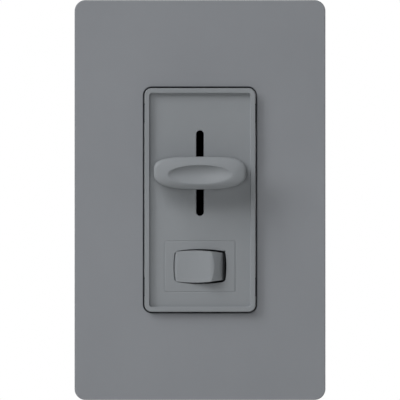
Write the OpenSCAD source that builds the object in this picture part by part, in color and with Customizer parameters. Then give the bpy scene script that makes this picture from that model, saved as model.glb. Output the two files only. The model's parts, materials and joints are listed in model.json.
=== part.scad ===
// Slide dimmer with on/off rocker, decorator style, with its screwless wall plate.
// Every module draws in panel axes: x to the right, y up, z out of the wall, and the
// wall surface is z = 0. on_wall() turns the panel upright, so that z points along -Y.

/* [Wall plate] */
// Width of the wall plate
plate_w = 74.7; // [72:0.1:80]
// Height of the wall plate
plate_h = 119.1; // [116:0.1:124]
// How far the plate's front stands off the wall
plate_z = 7.6; // [7:0.1:9]
// Radius of the plate's corners
plate_r = 3.3; // [2:0.1:6]
// Width of the decorator opening
opening_w = 33.85; // [33.3:0.05:34.5]
// Height of the decorator opening
opening_h = 67.4; // [66.6:0.05:68]

/* [Front bezel] */
// Gap all round between the bezel and the plate
bezel_gap = 0.45; // [0.2:0.05:0.5]
// How far the bezel's rim stands proud of the plate
rim_proud = 1.75; // [1:0.05:2.5]
// Width of the raised rim
rim_w = 1.45; // [1.2:0.05:2.4]
// Depth of the field below the rim
field_drop = 1.3; // [0.6:0.1:1.6]
// Thickness of the bezel's walls
bezel_wall = 1.8; // [1.6:0.1:2.2]

/* [Slider] */
// Height of the slot's middle above the panel's middle
slot_y = 8; // [6:0.5:9]
// Length of the slot
slot_len = 25.4; // [20:0.1:27]
// Width of the slot
slot_w = 2.25; // [2:0.05:3]
// Half the knob's width
knob_a = 13.7; // [10:0.1:14]
// Half the knob's height
knob_b = 4.85; // [4:0.05:6]
// How far the knob stands proud of the field
knob_rise = 8.8; // [6:0.1:11]
// Half the width of the finger dish
dish_a = 9.55; // [6:0.05:10]
// Half the height of the finger dish
dish_b = 2.8; // [2:0.05:3.4]
// Depth of the finger dish
dish_depth = 1.5; // [0.6:0.1:2]

/* [Rocker] */
// Height of the rocker's middle relative to the panel's middle
rocker_y = -19.8; // [-21:0.1:-19]
// Half the rocker's width where it passes the field
rocker_a = 7.35; // [6.5:0.05:8]
// Half the rocker's height
rocker_b = 4.78; // [4:0.02:5]
// Depth of the pivot below the field
pivot_depth = 6.5; // [6:0.1:7]
// Tilt of the rocker to each side
rocker_tilt = 13.3; // [10:0.1:15]
// Gap between the rocker and its opening
rocker_gap = 0.35; // [0.2:0.05:0.4]

/* [Yoke] */
// Width of the aluminium yoke with its break-off fins
yoke_w = 60; // [50:0.5:62]
// Height of the yoke
yoke_h = 105.6; // [103:0.1:107]
// Thickness of the yoke
yoke_t = 1.6; // [1.2:0.1:2]
// Distance between the two box screws
box_pitch = 83.34; // [83:0.01:84]
// Distance between the two plate screws
plate_pitch = 96.84; // [96:0.01:98]

/* [Housing] */
// Width of the back housing
housing_w = 44.4; // [44:0.1:48]
// Height of the back housing
housing_h = 68; // [67.6:0.1:72]
// Depth of the back housing behind the wall surface
housing_d = 28.5; // [27.5:0.1:32]
// Wall thickness of the housing
housing_wall = 1.8; // [1.5:0.1:2]

/* [Hidden] */
$fn = 64;

plastic_grey = "#808388";
adapter_grey = "#6c6f73";
plastic_black = "#17181a";
housing_black = "#232427";
aluminium = "#b9bcbf";
zinc = "#c4c6c8";
brass = "#c8a24a";
copper = "#b5672f";
silver = "#dcdcd8";
fibre_tan = "#b79a72";
board_green = "#2f6b3c";
ferrite = "#3c3d40";
film_yellow = "#c9a227";

eps = 0.01;
clearance = 0.02;
sides = [-1, 1];

// Heights of the layers, out of the wall
rim_z = plate_z + rim_proud;
field_z = rim_z - field_drop;
field_back = field_z - bezel_wall;
plate_wall = 2;
plate_skin = 2.2;
bezel_w = opening_w - 2 * bezel_gap;
bezel_h = opening_h - 2 * bezel_gap;
bezel_r = 2.1;
web_z1 = plate_z - plate_skin - 0.1;
web_z0 = web_z1 - 1.5;

// Slider: the knob's stem in the slot
stem_w = 1.9;
stem_h = 3.6;
stem_bottom = 4.2;
knob_z0 = field_z + 0.35;
knob_z1 = field_z + knob_rise;
knob_power_up = 3.6;
knob_power_down = 2.7;
knob_sides = 48;
dish_y = -0.45;
dome_rise = 1.1;
end_share = 0.35;
edge_round = 1.0;
edge_share = 0.165;
carrier_w = 9;
carrier_h = 9;
carrier_z0 = 2;
carrier_z1 = 6;
lever_w = 1.2;
lever_h = 3.4;
lever_top = 3.9;
guide_h = 36;
guide_wall = 2.3;

// Rocker: end surfaces turn about the pivot, so the gap stays even as it tilts
pivot_z = field_z - pivot_depth;
end_r = sqrt(rocker_a * rocker_a + pivot_depth * pivot_depth);
foot_angle = atan2(rocker_a, pivot_depth);
corner_angle = foot_angle - rocker_tilt;
corner_x = end_r * sin(corner_angle);
corner_z = end_r * cos(corner_angle);
end_crown = 0.35;
side_bow = 0.62;
end_round = 2.6;
face_hollow = 0.6;
crest_round = 2.2;
crest_overlap = 0.04;
frame_w = 21;
frame_h = 15.15;
frame_r = 0.7;
frame_depth = 0.17;
shell_foot = 1;
shell_t = 1.3;
pin_r = 1.2;
pin_bore = 1.25;
lug_y0 = rocker_b + 0.3;
lug_t = 1.8;
lug_r = 3.2;
plunger_r = 1.32;
plunger_bore = 1.4;
plunger_reach = 8.1;
spring_r = 0.95;
spring_wire = 0.2;
spring_turns = 7;

// Contact arm that seesaws on its fulcrum
arm_axis = -9.6;
arm_tilt = 5;
arm_reach = 8;
arm_w = 5;
arm_t = 0.8;
contact_x = 7;
contact_r = 1.3;
contact_h = 0.8;
cradle_r = plunger_reach + 0.05;
cradle_half = 3;
fulcrum_r = 0.6;
strip_t = 0.7;

// Board and components behind the yoke
board_front = -11.2;
board_t = 1.6;
board_back = board_front - board_t;
board_w = 40;
board_h = 63.6;
pot_w = 9;
pot_h = 34;
pot_top = -4.8;
pot_sheet = 0.5;
triac_x = 11.5;
triac_hole_y = 19;
triac_w = 10;
pad_t = 0.3;
tab_t = 1.3;
choke_y = 14;
choke_r = 10;
choke_bore = 5;
choke_h = 8;
choke_gap = 0.1;
wire_d = 0.8;
choke_turns = 26;

// Housing and its terminals: side of the housing, height on it
terminals = [[1, 13], [1, -13], [-1, 0]];
bay_floor = housing_w / 2 - 5.8;
bay_top = -15;
bay_h = 10;
terminal_z = -21;
terminal_r = 2.05;
rivet_x = housing_w / 2 - 2.6;
rivet_y = housing_h / 2 - 2.6;
rivet_r = 1.6;

// Latches, ribs and bosses of the wall plate and the adapter
hook_x = 20;
hook_w = 8;
rib_w = 1.2;
rib_reach = 1.6;
adapter_w = 66;
adapter_h = 111;
adapter_wall = 1.2;
boss_r = 3.2;
stiffener_x = 24;
stiffener_y = 36;
stiffener_len = 16;
web_window_x = 25;
web_window_y = 24;
web_window_w = 6;
web_window_h = 30;

// Yoke: windows, latch slots, plaster ears, score lines and ground tab
rocker_window_w = 21;
rocker_window_h = 17;
box_slot_w = 4.2;
box_slot_len = 7;
latch_x = 15.7;
latch_y = 26;
latch_w = 1.6;
latch_h = 4.8;
ear_x = 20;
ear_y = 47;
ear_r = 2;
score_x = 12;
score_side = 0.7;
fin_cut_w = 9;
fin_cut_h = 1.2;
ground_x = -15;
ground_y = -41.5;
ground_z = -6;
ground_tab_w = 9;
ground_tab_z = -11;

// Threads
screw_r = 1.75;
head_r = 3.3;
neck_r = 1.4;
box_screw_len = 19;
tapped = 0.03;

module on_wall() rotate([90, 0, 0]) children();

module rounded_rect(w, h, r) {
    square([w - 2 * r, h], center = true);
    square([w, h - 2 * r], center = true);
    for (sx = sides, sy = sides)
        translate([sx * (w / 2 - r), sy * (h / 2 - r)]) circle(r);
}

// A slab with rounded corners, from height z0 to z1
module slab(w, h, r, z0, z1)
    translate([0, 0, z0]) linear_extrude(z1 - z0) rounded_rect(w, h, r);

module block(x0, x1, y0, y1, z0, z1)
    translate([x0, y0, z0]) cube([x1 - x0, y1 - y0, z1 - z0]);

// A slot with round ends that runs along y
module slot_cut(w, h, z0, z1)
    translate([0, 0, z0]) linear_extrude(z1 - z0) {
        square([w, h - w], center = true);
        for (s = sides) translate([0, s * (h - w) / 2]) circle(w / 2);
    }

// A round bar along z
module rod(r, z0, z1) translate([0, 0, z0]) cylinder(r = r, h = z1 - z0);

// A cross recess and a slot, for the head of a combination screw
module drive_recess(z1, r, depth) {
    for (a = [0, 90])
        rotate([0, 0, a]) block(-0.45, 0.45, -r * 0.62, r * 0.62, z1 - depth, z1 + 1);
    block(-r, r, -0.4, 0.4, z1 - depth / 2, z1 + 1);
}

// Wall plate and the adapter behind it

module faceplate() color(plastic_grey) on_wall() {
    inner_w = plate_w - 2 * plate_wall;
    inner_h = plate_h - 2 * plate_wall;
    hook_y = plate_h / 2 - plate_wall;
    difference() {
        slab(plate_w, plate_h, plate_r, 0, plate_z);
        slab(inner_w, inner_h, plate_r - plate_wall + 0.5, -1, plate_z - plate_skin);
        slab(opening_w, opening_h, bezel_r + bezel_gap, 0, plate_z + 1);
    }
    // snap hooks that catch under the adapter's ledges
    for (sx = sides, sy = sides)
        block(sx * hook_x - hook_w / 2, sx * hook_x + hook_w / 2,
              min(sy * hook_y, sy * (hook_y - 1.85)),
              max(sy * (hook_y + eps), sy * (hook_y - 1.8)), 1.2, 2.3);
    // locating ribs on the side walls
    for (sx = sides, y = [-40, -20, 0, 20, 40])
        block(min(sx * inner_w / 2, sx * (inner_w / 2 - rib_reach)),
              max(sx * (inner_w / 2 + eps), sx * (inner_w / 2 - rib_reach)),
              y - rib_w / 2, y + rib_w / 2, 1, plate_z - plate_skin + eps);
}

module adapter_plate() color(adapter_grey) on_wall()
    difference() {
        union() {
            slab(adapter_w, adapter_h, 2, 0.4, web_z1);
            for (sx = sides, sy = sides)
                block(sx * hook_x - hook_w / 2 - 1, sx * hook_x + hook_w / 2 + 1,
                      min(sy * (adapter_h / 2 - eps), sy * (adapter_h / 2 + 0.8)),
                      max(sy * (adapter_h / 2 - eps), sy * (adapter_h / 2 + 0.8)), 2.5, 3.5);
        }
        difference() {
            slab(adapter_w - 2 * adapter_wall, adapter_h - 2 * adapter_wall, 1, 0, web_z0);
            // bosses and stiffeners down to the yoke
            for (s = sides)
                translate([0, s * plate_pitch / 2]) rod(boss_r, yoke_t + clearance, web_z0 + 1);
            for (s = sides, sx = sides)
                block(sx * stiffener_x - rib_w / 2, sx * stiffener_x + rib_w / 2,
                      s * stiffener_y - stiffener_len / 2, s * stiffener_y + stiffener_len / 2,
                      yoke_t + clearance, web_z0 + 1);
        }
        slab(bezel_w + 0.4, bezel_h + 0.4, bezel_r + 0.2, 0, plate_z);
        for (s = sides) translate([0, s * plate_pitch / 2]) {
            rod(screw_r + 0.2, 0, plate_z);
            translate([0, 0, web_z1 - 1.6])
                cylinder(r1 = screw_r + 0.05, r2 = head_r + 0.05, h = 1.6 + eps);
        }
        // windows that lighten the web
        for (sx = sides, sy = sides)
            translate([sx * web_window_x, sy * web_window_y])
                slot_cut(web_window_w, web_window_h, 0, plate_z);
    }

module adapter_screws() color(plastic_grey) on_wall()
    for (s = sides) translate([0, s * plate_pitch / 2]) difference() {
        union() {
            rod(screw_r, -2.6, web_z1 - 1.5);
            translate([0, 0, web_z1 - 1.6]) cylinder(r1 = screw_r, r2 = head_r, h = 1.6);
        }
        block(-head_r - 1, head_r + 1, -0.4, 0.4, web_z1 - 0.8, web_z1 + 1);
    }

// Box screws, held captive by fibre washers

module box_screws() color(zinc) on_wall()
    for (s = sides) translate([0, s * box_pitch / 2]) difference() {
        union() {
            rod(head_r, yoke_t + clearance, yoke_t + 1.3);
            translate([0, 0, yoke_t + 1.3]) cylinder(r1 = head_r, r2 = head_r - 1, h = 0.7);
            rod(neck_r, -0.5, yoke_t + 0.5);
            rod(screw_r, yoke_t - box_screw_len + 0.8, -0.45);
            translate([0, 0, yoke_t - box_screw_len])
                cylinder(r1 = 1, r2 = screw_r, h = 0.8);
        }
        drive_recess(yoke_t + 2, head_r, 1.1);
    }

module screw_retainers() color(fibre_tan) on_wall()
    for (s = sides) translate([0, s * box_pitch / 2]) difference() {
        slab(9, 9, 1, -0.4, -0.05);
        rod(neck_r + 0.05, -2, 1);
    }

// Yoke with its ground tab and screw

module yoke() color(aluminium) on_wall() {
    fin_x = housing_w / 2 + 1.2;
    fin_middle = (yoke_w / 2 + fin_x) / 2;
    difference() {
        slab(yoke_w, yoke_h, 3, 0, yoke_t);
        // openings for the slider's lever and for the rocker with its bearings
        translate([0, slot_y]) slab(pot_w, guide_h - 3, 1, -1, yoke_t + 1);
        translate([0, rocker_y]) slab(rocker_window_w, rocker_window_h, 1, -1, yoke_t + 1);
        // slots for the box screws, tapped holes for the plate screws
        for (s = sides) {
            translate([0, s * box_pitch / 2]) rotate([0, 0, 90])
                slot_cut(box_slot_w, box_slot_len, -1, yoke_t + 1);
            translate([0, s * plate_pitch / 2]) rod(screw_r + tapped, -1, yoke_t + 1);
        }
        for (sx = sides, sy = sides) {
            translate([sx * rivet_x, sy * rivet_y]) rod(rivet_r + 0.05, -1, yoke_t + 1);
            translate([sx * latch_x, sy * latch_y])
                slab(latch_w + 1, latch_h + 0.8, 0.4, -1, yoke_t + 1);
            // plaster ears: a hole and a score line in each corner
            translate([sx * ear_x, sy * ear_y]) rod(ear_r, -1, yoke_t + 1);
            translate([sx * score_x, sy * ear_y, yoke_t]) rotate([0, 45, 0])
                cube([score_side, 13, score_side], center = true);
        }
        // scored fins that break off where devices stand side by side
        for (sx = sides) {
            translate([sx * fin_x, 0, yoke_t]) rotate([0, 45, 0])
                cube([score_side, housing_h, score_side], center = true);
            for (sy = sides)
                block(sx * fin_middle - fin_cut_w / 2, sx * fin_middle + fin_cut_w / 2,
                      sy * (housing_h / 2 + 1) - fin_cut_h / 2,
                      sy * (housing_h / 2 + 1) + fin_cut_h / 2, -1, yoke_t + 1);
        }
        translate([triac_x, triac_hole_y]) rod(1.55, -1, yoke_t + 1);
    }
    // ground tab, bent back beside the lower box screw
    difference() {
        block(ground_x, ground_x + yoke_t, ground_y - ground_tab_w / 2,
              ground_y + ground_tab_w / 2, ground_tab_z, eps);
        translate([ground_x + yoke_t / 2, ground_y, ground_z]) rotate([0, 90, 0])
            cylinder(r = terminal_r + tapped, h = 5, center = true);
    }
}

module ground_screw() color("#2f7d46") on_wall() translate([ground_x, ground_y, ground_z]) {
    difference() {
        translate([-0.5, 0, 0]) rotate([0, -90, 0]) cylinder(r = 4, h = 2.3, $fn = 6);
        translate([-2.8, 0, 0]) cube([1.6, 10, 0.9], center = true);
    }
    translate([-0.02, 0, 0]) rotate([0, -90, 0]) cylinder(r = 4.6, h = 0.6);
    translate([-0.5, 0, 0]) rotate([0, 90, 0]) cylinder(r = terminal_r, h = 5.6);
}

// Front bezel with the slot and the rocker's opening

// Volume that the rocker's ends sweep, grown by g; the pivot is the y axis
module swept_ends(g) {
    crown_r = (rocker_b * rocker_b + end_crown * end_crown) / (2 * end_crown);
    rotate([90, 0, 0]) rotate_extrude($fn = 96) intersection() {
        translate([end_r + g - crown_r, 0]) circle(crown_r, $fn = 96);
        translate([0, -rocker_b - 1]) square([end_r + 1, 2 * rocker_b + 2]);
    }
}

// The rocker's bowed outline seen from the front, grown by g
module bowed_outline(g, z0, z1) {
    bow_r = (rocker_a * rocker_a + side_bow * side_bow) / (2 * side_bow);
    translate([0, 0, z0]) linear_extrude(z1 - z0) intersection() {
        translate([0, rocker_b + g - bow_r]) circle(bow_r, $fn = 128);
        translate([0, bow_r - rocker_b - g]) circle(bow_r, $fn = 128);
    }
}

// A hairline V groove along a rounded rectangle
module hairline(w, h, r, z, depth) translate([0, 0, z]) {
    side = depth * sqrt(2);
    for (s = sides) {
        translate([s * w / 2, 0, 0]) rotate([0, 45, 0]) cube([side, h - 2 * r, side], center = true);
        translate([0, s * h / 2, 0]) rotate([45, 0, 0]) cube([w - 2 * r, side, side], center = true);
    }
    for (sx = sides, sy = sides) intersection() {
        translate([sx * (w / 2 - r), sy * (h / 2 - r), 0])
            rotate_extrude() polygon([[r - depth, 0], [r, -depth], [r + depth, 0], [r, depth]]);
        block(min(sx * (w / 2 - r), sx * w), max(sx * (w / 2 - r), sx * w),
              min(sy * (h / 2 - r), sy * h), max(sy * (h / 2 - r), sy * h), -1, 1);
    }
}

module bezel() color(plastic_grey) on_wall() {
    difference() {
        union() {
            slab(bezel_w, bezel_h, bezel_r, yoke_t + clearance, rim_z);
            for (sx = sides, sy = sides) {
                block(sx * latch_x - latch_w / 2, sx * latch_x + latch_w / 2,
                      sy * latch_y - latch_h / 2, sy * latch_y + latch_h / 2, -1.4, 5);
                block(sx * 16 - 1.2, sx * 16 + 1.2,
                      sy * latch_y - latch_h / 2, sy * latch_y + latch_h / 2, -1.4, -0.1);
            }
        }
        slab(bezel_w - 2 * rim_w, bezel_h - 2 * rim_w, 0.8, field_z, rim_z + 1);
        difference() {
            slab(bezel_w - 2 * bezel_wall, bezel_h - 2 * bezel_wall, 1, yoke_t, field_back);
            for (s = sides)
                translate([0, rocker_y + s * (lug_y0 + lug_t / 2)])
                    block(-lug_r, lug_r, -lug_t / 2, lug_t / 2, 0, field_back + 1);
        }
        translate([0, slot_y]) slot_cut(slot_w, slot_len, field_back - 1, rim_z);
        translate([0, rocker_y, pivot_z]) intersection() {
            swept_ends(rocker_gap);
            bowed_outline(rocker_gap, 2, pivot_depth + 2);
        }
        translate([0, rocker_y]) hairline(frame_w, frame_h, frame_r, field_z, frame_depth);
        translate([0, rocker_y, pivot_z]) rotate([90, 0, 0])
            cylinder(r = pin_bore, h = 2 * (lug_y0 + lug_t) + 2, center = true);
    }
    // bearing lugs under the yoke's front surface
    for (s = sides) translate([0, rocker_y + s * (lug_y0 + lug_t / 2), 0]) difference() {
        union() {
            block(-lug_r, lug_r, -lug_t / 2, lug_t / 2, pivot_z, yoke_t + 0.5);
            translate([0, 0, pivot_z]) rotate([90, 0, 0])
                cylinder(r = lug_r, h = lug_t, center = true);
        }
        translate([0, 0, pivot_z]) rotate([90, 0, 0])
            cylinder(r = pin_bore, h = lug_t + 1, center = true);
        block(-4, 4, -2, 2, pivot_z + 3.3, 9);
    }
}

// Slider

// A superellipse, the knob's outline, at share k of its full size
function outline_point(k, t) =
    let (power = t < 180 ? knob_power_up : knob_power_down)
    [k * knob_a * sign(cos(t)) * pow(abs(cos(t)), 2 / power),
     k * knob_b * sign(sin(t)) * pow(abs(sin(t)), 2 / power)];
function dish_point(k, t) = [k * dish_a * cos(t), dish_y + k * dish_b * sin(t)];
function mix(a, b, u) = a * (1 - u) + b * u;
// Height of the dish's floor: deeper towards the upper edge, steeper at its upper left
function dish_height(k, t) =
    knob_z1 - dish_depth * pow(1 - k * k, 0.95 - 0.4 * cos(t - 132)) * (0.85 + 0.35 * k * sin(t));
// Drop from the dish's rim to the rounded edge, and the edge's turn: both are gentler at the ends
function slope_drop(t) = dome_rise * (end_share + (1 - end_share) * pow(sin(t), 2));
function edge_turn(t) = 74 - 28 * pow(sin(t), 2);
function drawn_in(a) = 1 - edge_share * (1 - cos(a));

// Rings of points from the underside, up the wall, over the rounded edge, in to the dish
knob_turns = [for (i = [0:knob_sides - 1]) i * 360 / knob_sides];
knob_rings = concat(
    [[for (t = knob_turns) concat(outline_point(1, t), knob_z0)]],
    [for (f = [0:3]) [for (t = knob_turns) let (a = edge_turn(t) * f / 3)
        concat(outline_point(drawn_in(a), t),
               knob_z1 - slope_drop(t) - edge_round * (sin(edge_turn(t)) - sin(a)))]],
    [for (u = [0.25, 0.5, 0.75, 1]) [for (t = knob_turns)
        concat(mix(outline_point(drawn_in(edge_turn(t)), t), dish_point(1, t), u),
               knob_z1 - slope_drop(t) * pow(1 - u, 1.5))]],
    [for (k = [0.93, 0.8, 0.6, 0.35]) [for (t = knob_turns)
        concat(dish_point(k, t), dish_height(k, t))]]
);

module knob_shell() {
    count = len(knob_rings);
    points = concat([for (ring = knob_rings) each ring], [[0, dish_y, dish_height(0, 0)]]);
    last = count * knob_sides;
    walls = [for (r = [0:count - 2], i = [0:knob_sides - 1]) let (j = (i + 1) % knob_sides)
        each [[r * knob_sides + i, (r + 1) * knob_sides + i, (r + 1) * knob_sides + j],
              [r * knob_sides + i, (r + 1) * knob_sides + j, r * knob_sides + j]]];
    cap = [for (i = [0:knob_sides - 1])
        [(count - 1) * knob_sides + i, last, (count - 1) * knob_sides + (i + 1) % knob_sides]];
    polyhedron(points, concat(walls, cap, [[for (i = [0:knob_sides - 1]) i]]));
}

module slider_knob() color(plastic_grey) on_wall() translate([0, slot_y]) {
    knob_shell();
    block(-stem_w / 2, stem_w / 2, -stem_h / 2, stem_h / 2, stem_bottom, knob_z0 + 1);
}

module slider_carrier() color(plastic_black) on_wall() translate([0, slot_y]) difference() {
    slab(carrier_w, carrier_h, 0.6, carrier_z0, carrier_z1);
    block(-stem_w / 2 - clearance, stem_w / 2 + clearance, -stem_h / 2 - clearance, stem_h / 2 + clearance,
          stem_bottom - clearance, carrier_z1 + 1);
    block(-lever_w / 2 - clearance, lever_w / 2 + clearance,
          -lever_h / 2 - clearance, lever_h / 2 + clearance,
          carrier_z0 - 1, lever_top + clearance);
}

module slider_guide() color(plastic_black) on_wall() translate([0, slot_y]) difference() {
    slab(carrier_w + 2 * guide_wall + 0.3, guide_h, 1, yoke_t + clearance, field_back - clearance);
    slab(carrier_w + 0.3, guide_h - 2, 0.6, 0, rim_z);
}

// Slide potentiometer

module pot_case() color(zinc) on_wall() translate([0, slot_y]) difference() {
    slab(pot_w, pot_h, 0.4, board_front + clearance, pot_top);
    block(-pot_w / 2 + pot_sheet, pot_w / 2 - pot_sheet, -pot_h / 2 + pot_sheet,
          pot_h / 2 - pot_sheet, board_front - 1, pot_top - pot_sheet);
    slot_cut(2, 28, pot_top - 1, pot_top + 1);
}

module pot_track() color("#6a4326") on_wall() translate([0, slot_y]) difference() {
    slab(pot_w - 1.2, pot_h - 1.2, 0.2, board_front + clearance, board_front + 0.85);
    for (sx = sides) block(sx * 1.9 - 0.6, sx * 1.9 + 0.6, -14, 14, board_front + 0.8, board_front + 2);
}

module pot_slider() color("#d8d4c6") on_wall() translate([0, slot_y]) {
    slab(6.6, 8, 0.4, -9.2, pot_top - pot_sheet - 0.2);
    block(-lever_w / 2, lever_w / 2, -lever_h / 2, lever_h / 2, -6, lever_top);
}

module wiper_contact() color(copper) on_wall() translate([0, slot_y]) {
    block(-2.8, 2.8, -2, 2, -9.45, -9.22);
    for (sx = sides) {
        block(sx * 1.9 - 0.4, sx * 1.9 + 0.4, 1.9, 3.6, -9.45, -9.22);
        block(sx * 1.9 - 0.4, sx * 1.9 + 0.4, 3.4, 3.6, -10.33, -9.4);
    }
}

// Rocker

// Everything that rides on the rocker is drawn with the pivot as origin and the face level
module on_rocker()
    on_wall() translate([0, rocker_y, pivot_z]) rotate([0, -rocker_tilt, 0]) children();

// Where the crest's rounding touches the face and the end surface
face_r = (corner_x * corner_x + face_hollow * face_hollow) / (2 * face_hollow);
face_centre = corner_z - face_hollow + face_r;
crest_reach = end_r - crest_round;
crest_angle = acos((crest_reach * crest_reach + face_centre * face_centre
    - (face_r + crest_round) * (face_r + crest_round)) / (2 * crest_reach * face_centre));
crest_x = crest_reach * sin(crest_angle);
crest_z = crest_reach * cos(crest_angle);
crest_lean = atan2(crest_x, face_centre - crest_z);
function around_pivot(r, a) = [r * sin(a), r * cos(a)];

// The rocker's profile: a rounded crest, then end surfaces that turn down with a smaller radius
module rounded_ends(inset) rotate([90, 0, 0]) linear_extrude(20, center = true) {
    far = end_r * 2;
    crest = [crest_x, crest_z];
    foot = around_pivot(end_r - end_round, foot_angle);
    foot_r = end_round - inset;
    right = [[foot[0] + foot_r, -3], [foot[0] + foot_r, foot[1]], foot,
             around_pivot(far, foot_angle), around_pivot(far, crest_angle), crest,
             crest + around_pivot(far, -crest_lean)];
    polygon(concat(right, [for (i = [len(right) - 1:-1:0]) [-right[i][0], right[i][1]]]));
    for (s = sides) {
        translate([s * crest_x, crest_z]) circle(crest_round + crest_overlap - inset, $fn = 96);
        translate([s * foot[0], foot[1]]) circle(foot_r, $fn = 96);
    }
}

module rocker_solid(inset, z0)
    difference() {
        intersection() {
            swept_ends(-inset);
            bowed_outline(-inset, z0, end_r);
            rounded_ends(inset);
        }
        translate([0, 0, face_centre - inset * 1.1]) rotate([90, 0, 0])
            cylinder(r = face_r, h = 20, center = true, $fn = 180);
    }

module rocker_button() color(plastic_grey) on_rocker() difference() {
    union() {
        difference() {
            rocker_solid(0, shell_foot);
            rocker_solid(shell_t, shell_foot - 1);
        }
        rod(2.4, -3.6, corner_z - face_hollow - 1);
        block(-0.8, 0.8, -rocker_b + 0.5, rocker_b - 0.5, -1.5, corner_z - face_hollow - 1);
        // cheeks and pivot pins
        for (s = sides) {
            block(-2.6, 2.6, min(s * (rocker_b - 1.4), s * (rocker_b - 0.2)),
                  max(s * (rocker_b - 1.4), s * (rocker_b - 0.2)), -1.6, 3);
            translate([0, s * (rocker_b + 0.5), 0]) rotate([90, 0, 0])
                cylinder(r = pin_r, h = 3.2, center = true);
        }
    }
    rod(plunger_bore, -5, 4.2);
}

module rocker_plunger() color("#e4e1d6") on_rocker() {
    rod(plunger_r, -plunger_reach + plunger_r, -0.8);
    translate([0, 0, -plunger_reach + plunger_r]) sphere(plunger_r);
}

// A wire swept along a helix
module coil(r, wire, turns, z0, z1) {
    steps = turns * 14;
    ring = 6;
    points = [for (i = [0:steps], j = [0:ring - 1])
        let (a = i * 360 * turns / steps, b = j * 360 / ring, q = r + wire * cos(b))
        [q * cos(a), q * sin(a), z0 + wire + (z1 - z0 - 2 * wire) * i / steps + wire * sin(b)]];
    walls = [for (i = [0:steps - 1], j = [0:ring - 1]) let (k = (j + 1) % ring)
        each [[i * ring + j, i * ring + k, (i + 1) * ring + k],
              [i * ring + j, (i + 1) * ring + k, (i + 1) * ring + j]]];
    polyhedron(points, concat(walls, [[for (j = [0:ring - 1]) ring - 1 - j]],
                              [[for (j = [0:ring - 1]) steps * ring + j]]));
}

module plunger_spring() color(zinc) on_rocker()
    coil(spring_r, spring_wire, spring_turns, -0.78, 4.18);

// Switch contacts

module on_arm()
    on_wall() translate([0, rocker_y, pivot_z + arm_axis]) rotate([0, arm_tilt, 0]) children();

// The arm's height above its axis: a cradle for the plunger between two flat wings
cradle_edge = -sqrt(cradle_r * cradle_r - cradle_half * cradle_half) - arm_axis;

module contact_arm() color(copper) on_arm() difference() {
    union() {
        block(-arm_reach, arm_reach, -arm_w / 2, arm_w / 2, cradle_edge - arm_t, cradle_edge);
        block(-1.6, 1.6, -arm_w / 2, arm_w / 2, 0.1, cradle_edge);
    }
    translate([0, 0, -arm_axis]) rotate([90, 0, 0])
        cylinder(r = cradle_r, h = arm_w + 2, center = true, $fn = 120);
    rotate([90, 0, 0]) cylinder(r = fulcrum_r + 0.05, h = arm_w + 2, center = true);
    for (s = sides) translate([s * contact_x, 0]) rod(0.6, 0, 3);
}

module moving_contacts() color(silver) on_arm()
    for (s = sides) translate([s * contact_x, 0]) {
        rod(contact_r, cradle_edge - arm_t - contact_h, cradle_edge - arm_t - 0.01);
        rod(0.55, cradle_edge - arm_t - 0.05, cradle_edge - 0.05);
    }

// Level of the fixed contacts: where the arm's lower end stops
fixed_top = arm_axis + (cradle_edge - arm_t - contact_h) * cos(arm_tilt)
    - (contact_x + contact_r) * sin(arm_tilt) - 0.03;

module fulcrum_post() color(brass) on_wall() translate([0, rocker_y, pivot_z + arm_axis]) {
    block(-fulcrum_r, fulcrum_r, -2, 2, board_front - pivot_z - arm_axis + clearance, 0);
    rotate([90, 0, 0]) cylinder(r = fulcrum_r, h = 4, center = true);
    block(-2, 2, -2, 2, board_front - pivot_z - arm_axis + clearance,
          board_front - pivot_z - arm_axis + 0.8);
}

module switch_terminals() color(brass) on_wall() translate([0, rocker_y, pivot_z])
    for (s = sides) {
        top = fixed_top - contact_h;
        block(s * contact_x - 2, s * contact_x + 2, -2, 2, top - strip_t, top);
        block(s * (contact_x + 1.65) - 0.35, s * (contact_x + 1.65) + 0.35, -2, 2,
              board_front - pivot_z + clearance, top);
    }

module fixed_contacts() color(silver) on_wall() translate([0, rocker_y, pivot_z])
    for (s = sides) translate([s * contact_x, 0])
        rod(contact_r, fixed_top - contact_h + 0.01, fixed_top);

// Circuit board and its components

module circuit_board() color(board_green) on_wall() difference() {
    block(-board_w / 2, board_w / 2, -board_h / 2, board_h / 2, board_back, board_front);
    for (sx = sides, sy = sides)
        block(sx * board_w / 2 - 4.2, sx * board_w / 2 + 4.2,
              sy * board_h / 2 - 4.2, sy * board_h / 2 + 4.2, board_back - 1, board_front + 1);
}

module triac_tab() color(zinc) on_wall() translate([triac_x, triac_hole_y]) difference() {
    block(-triac_w / 2, triac_w / 2, -12.4, 3, -pad_t - tab_t, -pad_t - 0.01);
    rod(1.85, -5, 1);
}

module triac_body() color(plastic_black) on_wall() translate([triac_x, triac_hole_y])
    block(-triac_w / 2, triac_w / 2, -12.4, -3.4, -pad_t - 4.4, -pad_t - tab_t - 0.01);

module triac_leads() color(zinc) on_wall() translate([triac_x, triac_hole_y - 12.4])
    for (x = [-2.54, 0, 2.54]) {
        block(x - 0.4, x + 0.4, -2.4, -0.01, -3.3, -2.8);
        block(x - 0.4, x + 0.4, -2.4, -1.9, board_front + clearance, -2.8);
    }

module triac_pad() color("#d9d3c4") on_wall() translate([triac_x, triac_hole_y]) difference() {
    block(-triac_w / 2 - 0.6, triac_w / 2 + 0.6, -13, 3.6, -pad_t, -0.02);
    rod(1.6, -5, 1);
}

module triac_screw() color(zinc) on_wall() translate([triac_x, triac_hole_y]) difference() {
    union() {
        rod(1.5, -5.6, yoke_t + 0.5);
        rod(2.6, yoke_t + clearance, yoke_t + 1.8);
        rod(2.7, -pad_t - tab_t - 2.4, -pad_t - tab_t - clearance, $fn = 6);
    }
    drive_recess(yoke_t + 1.8, 2.6, 0.9);
}

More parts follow.
